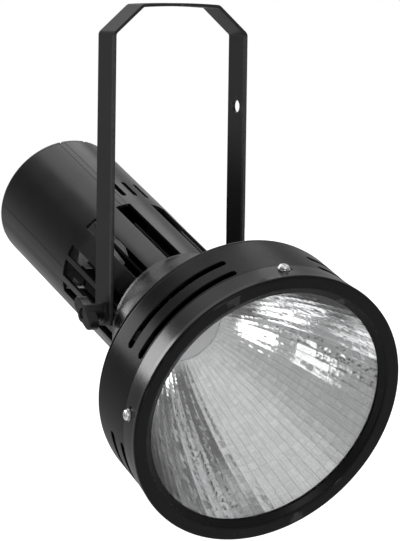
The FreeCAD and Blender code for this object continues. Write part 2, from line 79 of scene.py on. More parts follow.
# --------------------------------------------------------------- materials --
class Mat:
    """A Principled material with small helpers for procedural detail."""

    def __init__(self, name, **sockets):
        self.m = bpy.data.materials.new(name)
        self.m.use_nodes = True
        self.nt = self.m.node_tree
        self.nt.nodes.clear()
        self.out = self.node("OutputMaterial")
        self.p = self.node("BsdfPrincipled")
        self.nt.links.new(self.p.outputs[0], self.out.inputs[0])
        self.tc = self.node("TexCoord")
        for k, v in sockets.items():
            self.p.inputs[k.replace("_", " ")].default_value = v

    def node(self, kind, **props):
        n = self.nt.nodes.new("ShaderNode" + kind)
        for k, v in props.items():
            setattr(n, k, v)
        return n

    def link(self, a, b):
        self.nt.links.new(a, b)

    def coords(self, scale=(1, 1, 1), head=False):
        v = self.tc.outputs["Object"]
        if head:
            mp = self.node("Mapping")
            mp.inputs["Rotation"].default_value = (-TILT, 0, 0)
            loc = -(ROT.transposed() @ (PIV * MM))
            mp.inputs["Location"].default_value = loc
            self.link(v, mp.inputs["Vector"])
            v = mp.outputs[0]
        if tuple(scale) != (1, 1, 1):
            mp = self.node("Mapping")
            mp.inputs["Scale"].default_value = scale
            self.link(v, mp.inputs["Vector"])
            v = mp.outputs[0]
        return v

    def noise(self, vec, scale, detail=3.0, rough=0.55):
        n = self.node("TexNoise")
        n.inputs["Scale"].default_value = scale
        n.inputs["Detail"].default_value = detail
        n.inputs["Roughness"].default_value = rough
        self.link(vec, n.inputs["Vector"])
        return n.outputs[0]

    def rng(self, sock, a, b, c, d, smooth=False):
        n = self.node("MapRange")
        if smooth:
            n.interpolation_type = "SMOOTHSTEP"
        n.inputs["From Min"].default_value = a
        n.inputs["From Max"].default_value = b
        n.inputs["To Min"].default_value = c
        n.inputs["To Max"].default_value = d
        self.link(sock, n.inputs["Value"])
        return n.outputs[0]

    def math(self, op, a, b=None):
        n = self.node("Math", operation=op)
        for i, v in enumerate((a, b)):
            if v is None:
                continue
            if isinstance(v, (int, float)):
                n.inputs[i].default_value = v
            else:
                self.link(v, n.inputs[i])
        return n.outputs[0]

    def mix(self, fac, a, b):
        n = self.node("Mix", data_type="RGBA")
        if isinstance(fac, (int, float)):
            n.inputs[0].default_value = fac
        else:
            self.link(fac, n.inputs[0])
        for i, v in ((6, a), (7, b)):
            if isinstance(v, tuple):
                n.inputs[i].default_value = v if len(v) == 4 else (*v, 1)
            else:
                self.link(v, n.inputs[i])
        return n.outputs[2]

    def bump(self, height, strength, dist):
        n = self.node("Bump")
        n.inputs["Strength"].default_value = strength
        n.inputs["Distance"].default_value = dist
        self.link(height, n.inputs["Height"])
        if self.p.inputs["Normal"].is_linked:
            self.link(self.p.inputs["Normal"].links[0].from_socket, n.inputs["Normal"])
        self.link(n.outputs[0], self.p.inputs["Normal"])

    def edge(self, lo=0.515, hi=0.57):
        g = self.node("NewGeometry")
        return self.rng(g.outputs["Pointiness"], lo, hi, 0.0, 1.0)

    def set(self, name, sock):
        self.link(sock, self.p.inputs[name])


def g3(v):
    return (v, v, v, 1.0)


def paint(name, base, rough, head, grain=1.0, lines=0.0, edge_wear_and_highlight=0.35, spec=0.5, bore=0.0):
    """Satin black coating: fine orange peel, uneven sheen, faint dust, and rubbed edges whose lighter colour is also a
    painted edge highlight; optionally the inside of the tube painted near black as shade.
    """
    m = Mat(name)
    m.p.inputs["Specular IOR Level"].default_value = spec
    c = m.coords(head=head)
    cloud = m.noise(c, 22.0, 4.0)
    fine = m.noise(c, 950.0, 2.0, 0.6)
    speck = m.noise(c, 420.0, 1.0, 0.5)
    col = m.mix(m.rng(cloud, 0.3, 0.7, 0.0, 1.0), g3(base * 0.82), g3(base * 1.18))
    dust = m.rng(speck, 0.735, 0.79, 0.0, 0.35)
    col = m.mix(dust, col, (base * 5 + 0.02, base * 5 + 0.02, base * 5 + 0.021, 1))
    # lighter colour on sharp edges (pointiness): partly rubbed paint, partly a painted edge highlight
    e = m.edge()
    scuff = m.noise(c, 130.0, 3.0, 0.7)
    ew = m.math("MULTIPLY", m.math("MULTIPLY", e, m.rng(scuff, 0.3, 0.7, 0.6, 1.0)), edge_wear_and_highlight)
    col = m.mix(ew, col, (0.11, 0.11, 0.111, 1))
    r = m.rng(cloud, 0.3, 0.7, rough - 0.03, rough + 0.04)
    r = m.math("ADD", r, m.rng(fine, 0.3, 0.7, -0.03, 0.03))
    r = m.math("SUBTRACT", r, m.math("MULTIPLY", ew, 0.12))
    if bore > 0:
        # inside the tube the colour is painted near black as shade, and the surface is left matt
        sep = m.node("SeparateXYZ")
        m.link(c, sep.inputs[0])
        rr = m.math("SQRT", m.math("ADD", m.math("POWER", sep.outputs[0], 2.0), m.math("POWER", sep.outputs[2], 2.0)))
        painted_shade_inside = m.rng(rr, bore - 0.0002, bore + 0.0002, 1.0, 0.0)
        col = m.mix(painted_shade_inside, col, g3(0.0012))
        r = m.math("MAXIMUM", r, m.math("MULTIPLY", painted_shade_inside, 0.9))
    m.set("Base Color", col)
    m.set("Roughness", r)
    m.bump(fine, 0.22 * grain, 0.00004)
    if lines > 0:
        ln = m.noise(m.coords((2600.0, 5.0, 2600.0), head=True), 1.0, 2.0, 0.6)
        m.bump(ln, lines, 0.00002)
    return m.m


M = {}
M["yoke"] = paint("yoke_powder_coat", 0.0090, 0.34, False, grain=0.8, edge_wear_and_highlight=0.50, spec=0.26)
M["shroud"] = paint("shroud_satin_paint", 0.0060, 0.27, True, grain=0.22, edge_wear_and_highlight=0.20, spec=0.24)
M["shell"] = paint("shell_satin_paint", 0.0060, 0.25, True, grain=0.6, edge_wear_and_highlight=0.20, spec=0.08)
M["bezel"] = paint("bezel_satin_paint", 0.0060, 0.24, True, grain=0.6, edge_wear_and_highlight=0.35, spec=0.12)
M["tube"] = paint("tube_black_anodise", 0.0070, 0.21, True, grain=0.4, lines=0.12, edge_wear_and_highlight=0.55, spec=0.29, bore=0.0632)
M["cover"] = paint("rear_cover_satin", 0.0070, 0.24, True, grain=0.5, edge_wear_and_highlight=0.30, spec=0.26)
# a darker, duller copy of the black anodise for parts inside the head; the extra darkness is painted shade
M["inner"] = paint("inner_black_anodise_shade_darkened", 0.0022, 0.78, True, grain=0.5, lines=0.2, edge_wear_and_highlight=0.25, spec=0.10)


def plastic():
    m = Mat("knob_moulded_plastic")
    c = m.coords()
    cloud = m.noise(c, 60.0, 3.0)
    fine = m.noise(c, 1400.0, 2.0, 0.6)
    col = m.mix(m.rng(cloud, 0.35, 0.65, 0.0, 1.0), g3(0.010), g3(0.017))
    e = m.edge(0.52, 0.60)
    sc = m.noise(c, 260.0, 2.0, 0.6)
    ew = m.math("MULTIPLY", m.math("MULTIPLY", e, m.rng(sc, 0.4, 0.6, 0.0, 1.0)), 0.5)
    m.set("Base Color", m.mix(ew, col, g3(0.075)))
    m.set("Roughness", m.math("ADD", m.rng(cloud, 0.3, 0.7, 0.38, 0.48), m.rng(fine, 0.3, 0.7, -0.04, 0.04)))
    m.bump(fine, 0.30, 0.00004)
    return m.m


M["plastic"] = plastic()


def metal(name, lo, hi, r0, r1, head=False, brush=None, bump=0.2, tint=(1, 1, 1)):
    m = Mat(name, Metallic=1.0)
    c = m.coords(head=head)
    cloud = m.noise(c, 90.0, 3.0)
    fine = m.noise(c, 1600.0, 2.0, 0.65) if brush is None else m.noise(m.coords(brush, head=head), 1.0, 3.0, 0.65)
    a = tuple(lo * t for t in tint) + (1.0,)
    b = tuple(hi * t for t in tint) + (1.0,)
    col = m.mix(m.rng(cloud, 0.3, 0.7, 0.0, 1.0), a, b)
    m.set("Base Color", m.mix(m.rng(fine, 0.35, 0.75, 0.0, 0.3), col, g3(lo * 0.6)))
    m.set("Roughness", m.math("ADD", m.rng(cloud, 0.3, 0.7, r0, r1), m.rng(fine, 0.3, 0.7, -0.04, 0.05)))
    m.bump(fine, bump, 0.00003)
    return m.m


M["zinc"] = metal("zinc_plated_steel", 0.78, 0.92, 0.26, 0.36, tint=(1.0, 0.997, 0.99))
M["alu"] = metal("mill_finish_aluminium", 0.62, 0.76, 0.28, 0.40, head=True, brush=(1500, 12, 1500))


def mirror_alu():
    """Vacuum-metallised spun aluminium: bright, with fine streaks running down the bowl."""
    m = Mat("reflector_bright_aluminium", Metallic=1.0)
    c = m.coords(head=True)
    sep = m.node("SeparateXYZ")
    m.link(c, sep.inputs[0])
    ang = m.math("ARCTAN2", sep.outputs[0], sep.outputs[2])
    comb = m.node("CombineXYZ")
    m.link(m.math("MULTIPLY", ang, 70.0), comb.inputs[0])
    m.link(m.math("MULTIPLY", sep.outputs[1], 9.0), comb.inputs[1])
    streak = m.noise(comb.outputs[0], 1.0, 4.0, 0.7)
    cloud = m.noise(c, 25.0, 3.0)
    fine = m.noise(c, 700.0, 2.0)
    col = m.mix(m.rng(streak, 0.3, 0.7, 0.0, 1.0), (0.83, 0.833, 0.836, 1), (0.90, 0.902, 0.905, 1))
    # painted shade along the creases between facets, and each facet its own slight tone
    us = m.node("SeparateXYZ")
    m.link(m.tc.outputs["UV"], us.inputs[0])
    line = None
    cell = m.node("CombineXYZ")
    for i, (wd, crease_shade) in enumerate(((0.12, 0.20), (0.10, 0.09))):
        f = m.math("FRACT", us.outputs[i])
        e = m.math("ABSOLUTE", m.math("SUBTRACT", f, 0.5))
        k = m.math("MULTIPLY", m.rng(e, 0.5 - wd, 0.5, 0.0, 1.0, True), crease_shade)
        line = k if line is None else m.math("MAXIMUM", line, k)
        m.link(m.math("FLOOR", us.outputs[i]), cell.inputs[i])
    wn = m.node("TexWhiteNoise", noise_dimensions="2D")
    m.link(cell.outputs[0], wn.inputs["Vector"])
    shade = m.math("SUBTRACT", m.rng(wn.outputs["Value"], 0.0, 1.0, 0.91, 1.0), line)
    tone = m.node("CombineXYZ")
    for i in range(3):
        m.link(shade, tone.inputs[i])
    mul = m.node("Mix", data_type="RGBA", blend_type="MULTIPLY")
    mul.inputs[0].default_value = 1.0
    m.link(col, mul.inputs[6])
    m.link(tone.outputs[0], mul.inputs[7])
    m.set("Base Color", mul.outputs[2])
    r = m.rng(streak, 0.3, 0.7, 0.03, 0.055)
    r = m.math("ADD", r, m.math("MULTIPLY", line, 0.2))
    r = m.math("ADD", r, m.rng(cloud, 0.3, 0.7, -0.01, 0.02))
    m.set("Roughness", r)
    m.bump(streak, 0.02, 0.00010)
    m.bump(fine, 0.03, 0.00002)
    return m.m


M["mirror"] = mirror_alu()


def rubber():
    m = Mat("gasket_rubber")
    c = m.coords(head=True)
    cloud = m.noise(c, 80.0, 3.0)
    fine = m.noise(c, 1200.0, 2.0)
    m.set("Base Color", m.mix(cloud, g3(0.009), g3(0.018)))
    m.set("Roughness", m.rng(fine, 0.3, 0.7, 0.60, 0.74))
    m.bump(fine, 0.3, 0.00004)
    return m.m


M["rubber"] = rubber()


def dull(name, a, b, r0, r1, scale=60.0, bump=0.15):
    m = Mat(name)
    c = m.coords(head=True)
    cloud = m.noise(c, scale, 3.0)
    fine = m.noise(c, 1100.0, 2.0)
    m.set("Base Color", m.mix(m.rng(cloud, 0.3, 0.7, 0.0, 1.0), (*a, 1), (*b, 1)))
    m.set("Roughness", m.rng(fine, 0.3, 0.7, r0, r1))
    m.bump(fine, bump, 0.00003)
    return m.m


M["frost"] = dull("diffuser_opal", (0.70, 0.704, 0.708), (0.78, 0.783, 0.786), 0.34, 0.44)
M["phosphor"] = dull("emitter_phosphor", (0.80, 0.62, 0.10), (0.86, 0.70, 0.16), 0.45, 0.6, 200.0)
M["board"] = dull("board_white_mask", (0.66, 0.67, 0.68), (0.74, 0.75, 0.76), 0.3, 0.42)
M["pad"] = dull("thermal_pad_grey", (0.30, 0.31, 0.33), (0.37, 0.38, 0.40), 0.7, 0.85)
M["case"] = dull("driver_case", (0.70, 0.71, 0.72), (0.78, 0.79, 0.80), 0.4, 0.55)


def glass():
    m = Mat("clear_float_glass", Roughness=0.0, IOR=1.45)
    m.p.inputs["Transmission Weight"].default_value = 1.0
    c = m.coords(head=True)
    film = m.noise(c, 14.0, 4.0, 0.6)
    m.set("Base Color", m.mix(m.rng(film, 0.35, 0.7, 0.0, 1.0), (0.99, 0.992, 0.992, 1), (0.965, 0.968, 0.968, 1)))
    m.set("Roughness", m.rng(film, 0.45, 0.8, 0.0, 0.03))
    lp = m.node("LightPath")
    tr = m.node("BsdfTransparent")
    tr.inputs[0].default_value = (0.95, 0.953, 0.953, 1)
    mx = m.node("MixShader")
    m.link(lp.outputs["Is Shadow Ray"], mx.inputs[0])
    m.link(m.p.outputs[0], mx.inputs[1])
    m.link(tr.outputs[0], mx.inputs[2])
    m.link(mx.outputs[0], m.out.inputs[0])
    return m.m


M["glass"] = glass()


# ----------------------------------------------------------- mesh builders --
class MB:
    """Collects faces with their corner normals and welds shared corners."""

    def __init__(self):
        self.key, self.v, self.f, self.n = {}, [], [], []

    def vid(self, p):
        k = (round(p[0] * 2e6), round(p[1] * 2e6), round(p[2] * 2e6))
        i = self.key.get(k)
        if i is None:
            i = self.key[k] = len(self.v)
            self.v.append(tuple(p))
        return i

    def face(self, pts, nrm):
        ids, nn = [], []
        for p, n in zip(pts, nrm):
            i = self.vid(p)
            if ids and ids[-1] == i:
                continue
            ids.append(i)
            nn.append(n)
        if len(ids) > 1 and ids[0] == ids[-1]:
            ids.pop()
            nn.pop()
        if len(set(ids)) < 3 or len(set(ids)) != len(ids):
            return
        # wind the face the way its normals point
        a, b, c = (Vector(self.v[ids[j]]) for j in (0, 1, 2))
        fn = (b - a).cross(c - a)
        if len(ids) == 4:
            d = Vector(self.v[ids[3]])
            fn = (c - a).cross(d - b)
        s = sum((Vector(n).dot(fn) for n in nn))
        if s < 0:
            ids.reverse()
            nn.reverse()
        self.f.append(ids)
        self.n.append(nn)

    def build(self, name, mat, body, replaces=()):
        me = bpy.data.meshes.new(name)
        seen, fs, ns = set(), [], []
        for ids, nn in zip(self.f, self.n):
            k = tuple(sorted(ids))
            if k in seen:
                continue
            seen.add(k)
            fs.append(ids)
            ns.append(nn)
        me.from_pydata(self.v, [], fs)
        me.validate()
        if len(me.polygons) == len(fs):
            me.polygons.foreach_set("use_smooth", [True] * len(fs))
            flat = [tuple(Vector(n).normalized()) for nn in ns for n in nn]
            me.normals_split_custom_set(flat)
        else:
            print("normals left out on", name, len(me.polygons), len(fs))
            me.shade_smooth()
        me.update()
        return add(name, me, mat, body, replaces)


def add(name, me, mat, body, replaces=()):
    o = bpy.data.objects.new(name, me)
    bpy.context.scene.collection.objects.link(o)
    o.data.materials.clear()
    o.data.materials.append(mat)
    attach(o, body)
    if replaces:
        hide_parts(*replaces)
    return o


def rrect(cx, cy, hx, hy, rc, step, stepy=None):
    """Rounded rectangle as (x, y, nx, ny), counter-clockwise, normals pointing away from its centre."""
    stepy = stepy or step
    out = []
    rc = min(rc, hx, hy)
    k = max(3, int(math.ceil(math.pi / 2 * rc / 0.35)))
    k = min(k, 12)
    cs = [(hx - rc, -(hy - rc), -90), (hx - rc, hy - rc, 0), (-(hx - rc), hy - rc, 90), (-(hx - rc), -(hy - rc), 180)]
    for j, (x, y, a0) in enumerate(cs):
        for i in range(k + 1):
            a = math.radians(a0 + 90.0 * i / k)
            nx, ny = math.cos(a), math.sin(a)
            out.append((cx + x + rc * nx, cy + y + rc * ny, nx, ny))
        x2, y2, _ = cs[(j + 1) % 4]
        a = math.radians(a0 + 90)
        nx, ny = math.cos(a), math.sin(a)
        ln = math.hypot(x2 - x, y2 - y)
        n = int(ln / (step if abs(x2 - x) > abs(y2 - y) else stepy))
        for i in range(1, n + 1):
            t = i / (n + 1)
            out.append((cx + x + (x2 - x) * t + rc * nx, cy + y + (y2 - y) * t + rc * ny, nx, ny))
    res = []
    for p in out:
        if not res or math.hypot(p[0] - res[-1][0], p[1] - res[-1][1]) > 1e-4 or abs(p[2] - res[-1][2]) > 1e-3:
            res.append(p)
    return res


def inside(x, y, poly):
    c = False
    j = len(poly) - 1
    for i in range(len(poly)):
        xi, yi = poly[i]
        xj, yj = poly[j]
        if (yi > y) != (yj > y) and x < (xj - xi) * (y - yi) / (yj - yi) + xi:
            c = not c
        j = i
    return c


class Hole:
    def __init__(self, pts):
        self.pts = pts
        xs = [p[0] for p in pts]
        ys = [p[1] for p in pts]
        self.box = (min(xs), max(xs), min(ys), max(ys))

    def loop(self, g):
        return [(x + nx * g, y + ny * g) for x, y, nx, ny in self.pts]

    def has(self, x, y, g):
        b = self.box
        if x < b[0] - g or x > b[1] + g or y < b[2] - g or y > b[3] + g:
            return False
        return inside(x, y, self.loop(g))


def fill(loops, segs, pts, keep):
    """Triangles of a flat pattern: closed loops, open segments and free points."""
    co, ed = [], []
    for lp in loops:
        b = len(co)
        co += [Vector(p) for p in lp]
        ed += [(b + i, b + (i + 1) % len(lp)) for i in range(len(lp))]
    for sg in segs:
        b = len(co)
        co += [Vector(p) for p in sg]
        ed += [(b + i, b + i + 1) for i in range(len(sg) - 1)]
    co += [Vector(p) for p in pts]
    r = delaunay_2d_cdt(co, ed, [], 0, 1e-5)
    vs, fs = r[0], r[2]
    tri = []
    for f in fs:
        cx = sum(vs[i][0] for i in f) / len(f)
        cy = sum(vs[i][1] for i in f) / len(f)
        if keep(cx, cy):
            tri.append([(vs[i][0], vs[i][1]) for i in f])
    return tri


def sheet_metal(mb, P, N, T, holes, bev, bev_in, outline=None, rect=None, gx=(), gy=(), segs=(), inner_gy=None, thick=None):
    """A pierced sheet. P(x, y, d) is the point d below the outer skin (d None means the inner skin),
    N(x, y) the outer normal and T(x, y) the two directions along the skin."""
    ks = 3

    def ring(h, g0, inner):
        """Rings from the skin round the edge into the wall: (grow, depth, tilt)."""
        b = bev_in if inner else bev
        if b <= 0:
            return [(0.0, 0.0, 1.0)]
        out = []
        for i in range(ks + 1):
            a = math.pi / 2 * i / ks
            out.append((b * (1 - math.sin(a)), b * (1 - math.cos(a)), a))
        return out

    def wall_normal(x, y, nx, ny):
        tx, ty = T(x, y)
        return tx * nx + ty * ny

    def do_loop(h, sign):
        """Edge rounding and wall of one loop; sign +1 for a hole, -1 for the outline."""
        n = len(h.pts)
        rows = []
        for g, d, a in ring(h, 0, False):
            row = []
            for x, y, nx, ny in h.pts:
                X2, Y2 = x + sign * nx * g, y + sign * ny * g
                w = wall_normal(x, y, nx, ny) * (-sign)
                nr = N(X2, Y2) * math.cos(a) + w * math.sin(a)
                row.append((P(X2, Y2, d), nr))
            rows.append(row)
        if bev <= 0:
            rows = [[(p, wall_normal(x, y, nx, ny) * (-sign)) for (p, _), (x, y, nx, ny) in zip(rows[0], h.pts)]]
        tail = []
        for g, d, a in ring(h, 0, True):
            row = []
            for x, y, nx, ny in h.pts:
                X2, Y2 = x + sign * nx * g, y + sign * ny * g
                w = wall_normal(x, y, nx, ny) * (-sign)
                nr = N(X2, Y2) * -math.cos(a) + w * math.sin(a)
                row.append((P(X2, Y2, thick(X2, Y2) - d), nr))
            tail.append(row)
        if bev_in <= 0:
            tail = [[(p, wall_normal(x, y, nx, ny) * (-sign)) for (p, _), (x, y, nx, ny) in zip(tail[0], h.pts)]]
        rows += tail[::-1]
        for r0, r1 in zip(rows, rows[1:]):
            for i in range(n):
                j = (i + 1) % n
                q = (r0[i], r0[j], r1[j], r1[i])
                mb.face([t[0] for t in q], [t[1] for t in q])

    for inner in (False, True):
        g = bev_in if inner else bev
        ys = inner_gy if (inner and inner_gy) else gy
        loops = [h.loop(g) for h in holes]
        sg = [] if inner else list(segs)
        if outline is not None:
            loops.append([(x - nx * g, y - ny * g) for x, y, nx, ny in outline.pts])
            ob = loops[-1]
        if rect:
            x0, x1 = rect[0], rect[1]
            y0, y1 = ys[0], ys[-1]
            sg += [[(x, y0) for x in gx], [(x, y1) for x in gx], [(x0, y) for y in ys], [(x1, y) for y in ys]]
        pts = []
        for x in gx:
            for y in ys:
                if any(h.has(x, y, g + 0.45) for h in holes):
                    continue
                if outline is not None and not inside(x, y, [(a - c * (g + 0.45), b - d * (g + 0.45)) for a, b, c, d in outline.pts]):
                    continue
                pts.append((x, y))

        def keep(x, y):
            if any(h.has(x, y, g) for h in holes):
                return False
            if outline is not None and not inside(x, y, ob):
                return False
            return True
        for tri in fill(loops, sg, pts, keep):
            if inner:
                mb.face([P(x, y, thick(x, y)) for x, y in tri], [-N(x, y) for x, y in tri])
            else:
                mb.face([P(x, y, 0.0) for x, y in tri], [N(x, y) for x, y in tri])
    for h in holes:
        do_loop(h, 1)
    if outline is not None:
        do_loop(outline, -1)


def round_profile(pts, k=4):
    """Closed (s, r, fillet) outline to points with their outward normals, arcs in the corners."""
    n = len(pts)
    area = sum(pts[i][0] * pts[(i + 1) % n][1] - pts[(i + 1) % n][0] * pts[i][1] for i in range(n))
    flip = 1.0 if area > 0 else -1.0
    out = []
    for i, (s, r, f) in enumerate(pts):
        p, a, b = Vector((s, r)), Vector(pts[i - 1][:2]), Vector(pts[(i + 1) % n][:2])
        u, v = (a - p), (b - p)
        lu, lv = u.length, v.length
        u, v = u / lu, v / lv
        nu = Vector((-u.y, u.x)) * flip
        nv = Vector((v.y, -v.x)) * flip
        ang = u.angle(v)
        if f <= 0 or ang > math.radians(178.5):
            out.append((p, (nu * lu + nv * lv).normalized()))
            continue
        d = min(f / math.tan(ang / 2), 0.48 * lu, 0.48 * lv)
        rad = d * math.tan(ang / 2)
        c = p + (u + v).normalized() * (rad / math.sin(ang / 2))
        q0, q1 = p + u * d, p + v * d
        for j in range(k + 1):
            t = j / k
            w = (q0 - c).normalized().slerp((q1 - c).normalized(), t)
            nr = nu.slerp(nv, t)
            out.append((c + w * rad, nr))
    return out


def lathe_into(mb, prof, phis, closed=True, skip=()):
    n = len(prof)
    for i in range(n if closed else n - 1):
        if i in skip:
            continue
        (p0, n0), (p1, n1) = prof[i], prof[(i + 1) % n]
        if (p1 - p0).length < 1e-6:
            continue
        for a, b in zip(phis, phis[1:]):
            q, m = [], []
            for ph, p, nn in ((a, p0, n0), (b, p0, n0), (b, p1, n1), (a, p1, n1)):
                ar = math.radians(ph)
                q.append(pol(ph, p[1], p[0]))
                m.append(hn(-nn[1] * math.sin(ar), -nn[0], nn[1] * math.cos(ar)))
            mb.face(q, m)


def arange(a, b, n):
    return [a + (b - a) * i / n for i in range(n + 1)]


def interp(table, s):
    if s <= table[0][0]:
        return table[0][1]
    for (a, ra), (b, rb) in zip(table, table[1:]):
        if s <= b:
            return ra + (rb - ra) * (s - a) / (b - a)
    return table[-1][1]


def slope(table, s):
    for (a, ra), (b, rb) in zip(table, table[1:]):
        if s <= b:
            return (rb - ra) / (b - a)
    return 0.0


def shell_funcs(outer, inner, rx, radius=None, slopes=None):
    """P, N, T and wall thickness for a pierced body of revolution; x is angle times rx."""
    rad = radius or (lambda ph, s: interp(outer, s))
    slo = slopes or (lambda s: slope(outer, s))

    def P(x, y, d):
        ph = x / rx
        a = math.radians(ph)
        r = rad(ph, y) - d
        return hp(-r * math.sin(a), -y, r * math.cos(a))

    def N(x, y):
        a = math.radians(x / rx)
        m = slo(y)
        k = 1.0 / math.sqrt(1 + m * m)
        return hn(-math.sin(a) * k, m * k, math.cos(a) * k)

    def T(x, y):
        a = math.radians(x / rx)
        return hn(-math.cos(a), 0, -math.sin(a)), hn(0, -1, 0)

    def th(x, y):
        return rad(x / rx, y) - interp(inner, y)
    return P, N, T, th


def refine(node, mat, body, bevel=0.3, seg=2, angle=32, dissolve=1.2, name=None):
    """A rounded-edge copy of a CAD node: welded, flat faces joined, edges bevelled."""
    src = NODES[node].data
    bm = bmesh.new()
    vs = [bm.verts.new(v.co) for v in src.vertices]
    bm.verts.ensure_lookup_table()
    for p in src.polygons:
        try:
            bm.faces.new([vs[i] for i in p.vertices])
        except ValueError:
            pass
    bmesh.ops.remove_doubles(bm, verts=bm.verts, dist=2e-6)
    bmesh.ops.dissolve_limit(bm, angle_limit=math.radians(dissolve), verts=bm.verts, edges=bm.edges, use_dissolve_boundaries=False)
    bmesh.ops.recalc_face_normals(bm, faces=bm.faces)
    me = bpy.data.meshes.new(name or node + "_fine")
    bm.to_mesh(me)
    bm.free()
    me.shade_smooth()
    me.set_sharp_from_angle(angle=math.radians(angle))
    o = add(name or node + "_fine", me, mat, body, (node,))
    if bevel > 0:
        b = o.modifiers.new("edges", "BEVEL")
        b.width = bevel * MM
        b.segments = seg
        b.limit_method = "ANGLE"
        b.angle_limit = math.radians(angle)
        b.harden_normals = True
        b.use_clamp_overlap = True
    return o


# --------------------------------------------------------------- the yoke --
BAR_T, BAR_W, YH, TOPH = 3.0, 30.0, 72.0, 41.3
BEND_Z, BOW, ARM_Z = -27.8, 1.3, -300.0


def yoke_path():
    """Outer line of the bent bar as (x, z, nx, nz) samples, left arm bottom to right arm bottom."""
    rb = (TOPH ** 2 + BOW ** 2) / (2 * BOW)
    half = []                       # from the top centre down the right side
    turn = math.asin(TOPH / rb)
    lean = math.atan2(YH - TOPH, -BEND_Z - BOW)      # from vertical
    R = 6.0
    # bow arc
    a_end = turn
    t2 = (math.pi / 2 - lean) - a_end                # turn at the upper corner
    d2 = R * math.tan(t2 / 2)
    a_cut = a_end - d2 / rb
    for i in range(13):
        a = a_cut * i / 12
        half.append((rb * math.sin(a), rb * (math.cos(a) - 1), math.sin(a), math.cos(a)))
    x0, z0 = half[-1][0], half[-1][1]
    a0 = a_cut
    cx, cz = x0 - R * math.sin(a0), z0 - R * math.cos(a0)
    a1 = math.pi / 2 - lean
    for i in range(1, 8):
        a = a0 + (a1 - a0) * i / 7
        half.append((cx + R * math.sin(a), cz + R * math.cos(a), math.sin(a), math.cos(a)))
    xs, zs = half[-1][0], half[-1][1]
    # leaning straight down to the lower corner's arc
    R2 = 6.0
    d1 = R2 * math.tan(lean / 2)
    ex, ez = YH - d1 * math.sin(lean), BEND_Z + d1 * math.cos(lean)
    for i in range(1, 5):
        t = i / 4
        half.append((xs + (ex - xs) * t, zs + (ez - zs) * t, math.sin(a1), math.cos(a1)))
    cx, cz = YH - R2, BEND_Z - d1
    for i in range(1, 10):
        a = a1 + (math.pi / 2 - a1) * i / 9
        half.append((cx + R2 * math.sin(a), cz + R2 * math.cos(a), math.sin(a), math.cos(a)))
    xs, zs = YH, half[-1][1]
    n = 22
    for i in range(1, n + 1):
        half.append((YH, zs + (ARM_Z - zs) * i / n, 1.0, 0.0))
    left = [(-x, z, -nx, nz) for x, z, nx, nz in reversed(half)]
    return left[:-1] + half


PATH = yoke_path()
U = [0.0]
for p, q in zip(PATH, PATH[1:]):
    U.append(U[-1] + math.hypot(q[0] - p[0], q[1] - p[1]))
UL = U[-1]


def on_path(u):
    lo, hi = 0, len(U) - 1
    u = min(max(u, 0.0), UL)
    while hi - lo > 1:
        m = (lo + hi) // 2
        if U[m] <= u:
            lo = m
        else:
            hi = m
    t = (u - U[lo]) / (U[hi] - U[lo])
    a, b = PATH[lo], PATH[hi]
    x, z = a[0] + (b[0] - a[0]) * t, a[1] + (b[1] - a[1]) * t
    nx, nz = a[2] + (b[2] - a[2]) * t, a[3] + (b[3] - a[3]) * t
    k = math.hypot(nx, nz)
    return x, z, nx / k, nz / k


def yP(x, y, d):
    px, pz, nx, nz = on_path(x)
    return Vector((px - nx * d, y, pz - nz * d)) * MM


def yN(x, y):
    _, _, nx, nz = on_path(x)
    return Vector((nx, 0, nz))


def yT(x, y):
    _, _, nx, nz = on_path(x)
    return Vector((nz, 0, -nx)), Vector((0, 1, 0))


def yoke_piece():
    gx = list(U)
    gy = arange(-15.0, 15.0, 6)
    rc, k = 6.0, 8
    pts = []
    mid = [u for u in gx if rc + 0.5 < u < UL - rc - 0.5]
    for u in mid:
        pts.append((u, -15.0, 0.0, -1.0))
    for c, a0 in (((UL - rc, -15 + rc), -90), ((UL - rc, 15 - rc), 0)):
        for i in range(k + 1):
            a = math.radians(a0 + 90 * i / k)
            pts.append((c[0] + rc * math.cos(a), c[1] + rc * math.sin(a), math.cos(a), math.sin(a)))
    for u in reversed(mid):
        pts.append((u, 15.0, 0.0, 1.0))
    for c, a0 in (((rc, 15 - rc), 90), ((rc, -15 + rc), 180)):
        for i in range(k + 1):
            a = math.radians(a0 + 90 * i / k)
            pts.append((c[0] + rc * math.cos(a), c[1] + rc * math.sin(a), math.cos(a), math.sin(a)))
    outline = Hole(pts)
    zr = lambda z: UL - (z - ARM_Z)

    def circ(u, r, n=40):
        return Hole([(u + r * math.cos(2 * math.pi * i / n), r * math.sin(2 * math.pi * i / n),
                      math.cos(2 * math.pi * i / n), math.sin(2 * math.pi * i / n)) for i in range(n)])
    holes = [circ(UL / 2, 6.0), circ(zr(-96.4), 6.0), circ(zr(-288.0), 4.3), circ(12.0, 4.3)]
    mb = MB()
    sheet_metal(mb, yP, yN, yT, holes, 0.42, 0.42, outline=outline, gx=gx, gy=gy, thick=lambda x, y: BAR_T)
    return mb.build("yoke_bar", M["yoke"], "yoke", ("yoke_bracket",))


yoke_piece()


